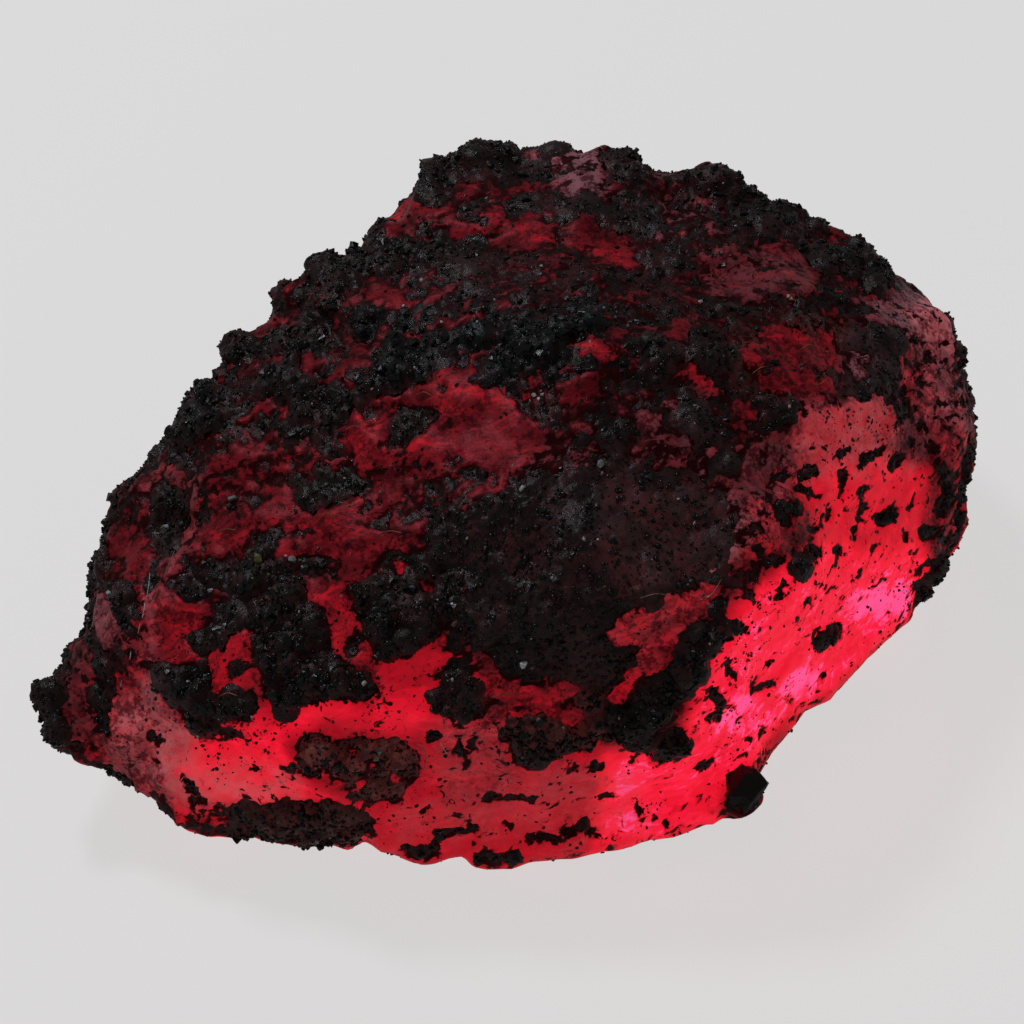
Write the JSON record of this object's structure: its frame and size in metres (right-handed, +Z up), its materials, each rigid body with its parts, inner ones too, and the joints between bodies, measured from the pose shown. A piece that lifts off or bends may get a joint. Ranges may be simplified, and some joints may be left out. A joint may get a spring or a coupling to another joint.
{
  "type": "raw ruby crystal",
  "caption": "Rough ruby crystal lying on a flat natural face, its see-through red faces half covered by a knobbly black crust of small grains.",
  "frame": {"origin": "on the surface the stone rests on, under the middle of its bounding box", "axes": "+Z up, +X along the stone's length from the blunt tip to the broad end, +Y towards its back"},
  "size_m": [0.0256, 0.0172, 0.0119],
  "materials": {
    "ruby": "natural uncut faces, hazy and see-through",
    "black_crust": "granular black mineral crust with small glints"
  },
  "bodies": {
    "root": {"ruby_crystal": "ruby"}
  },
  "joints": []
}
